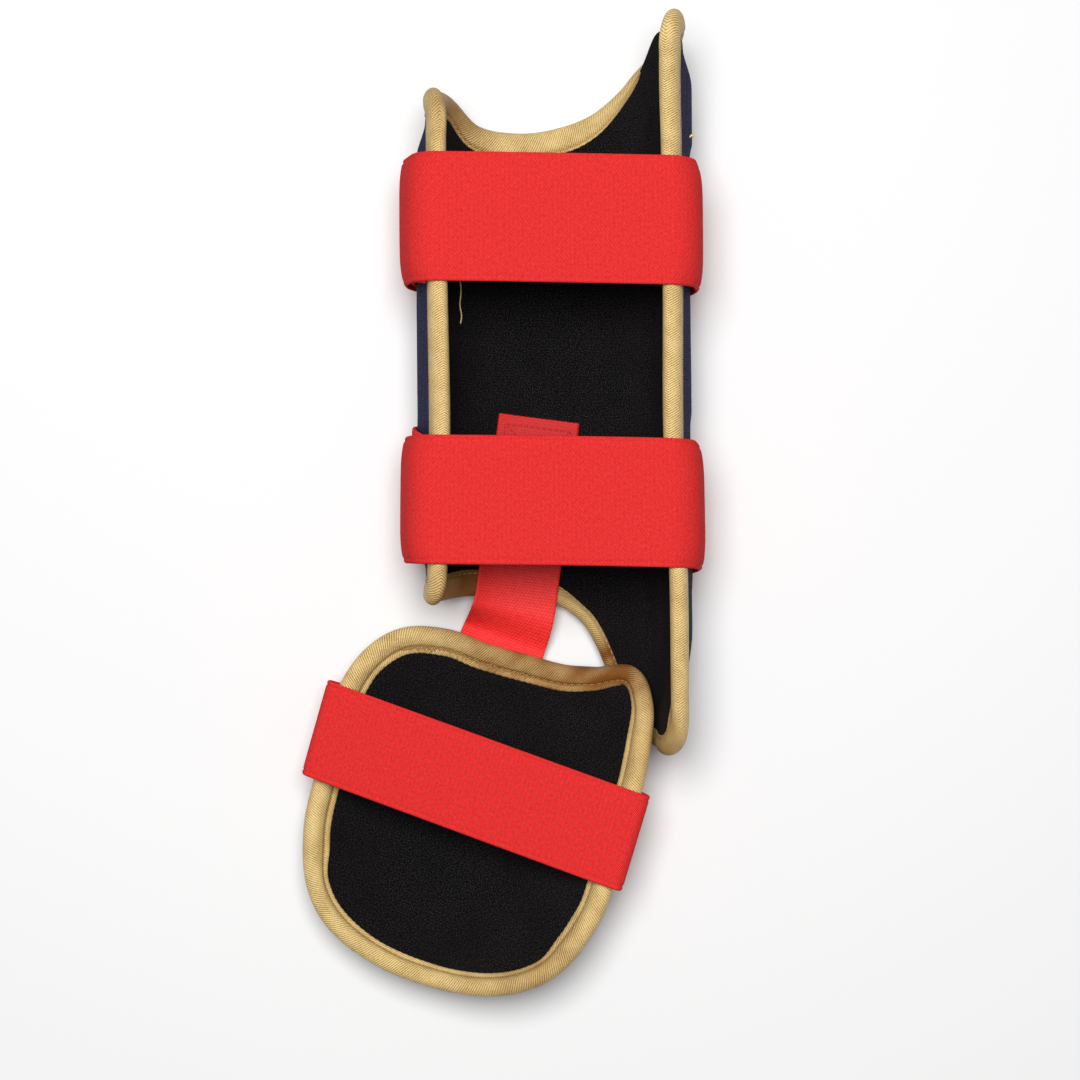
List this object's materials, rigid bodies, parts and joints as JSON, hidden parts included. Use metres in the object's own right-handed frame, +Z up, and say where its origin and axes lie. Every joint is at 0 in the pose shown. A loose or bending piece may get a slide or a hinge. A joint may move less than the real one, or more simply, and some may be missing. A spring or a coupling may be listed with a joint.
{
  "type": "batter's leg and foot guard",
  "caption": "padded shin trough and instep cup with edge binding, joined by a webbing and closed by elastic straps",
  "frame": {"origin": "on the surface that the guard lies on, under the middle of its outline", "axes": "+Z up, out of the open side; +Y along the shin towards the knee; +X towards the longer side wall of the trough"},
  "size_m": [0.1616, 0.3884, 0.068],
  "materials": {
    "shell_mesh": "navy spacer mesh over foam",
    "lining_pile": "black brushed pile",
    "binding_tape": "gold herringbone tape",
    "elastic": "red woven elastic",
    "webbing": "red plain-weave webbing",
    "hook_and_loop": "red hook-and-loop tape"
  },
  "bodies": {
    "root": {"shin_shell": "shell_mesh", "shin_lining": "lining_pile", "shin_binding": "binding_tape", "foot_shell": "shell_mesh", "foot_lining": "lining_pile", "foot_binding": "binding_tape", "upper_strap": "elastic", "lower_strap": "elastic", "foot_strap": "elastic", "link_webbing": "webbing", "upper_closure": "hook_and_loop", "lower_closure": "hook_and_loop", "foot_closure": "hook_and_loop"}
  },
  "joints": []
}
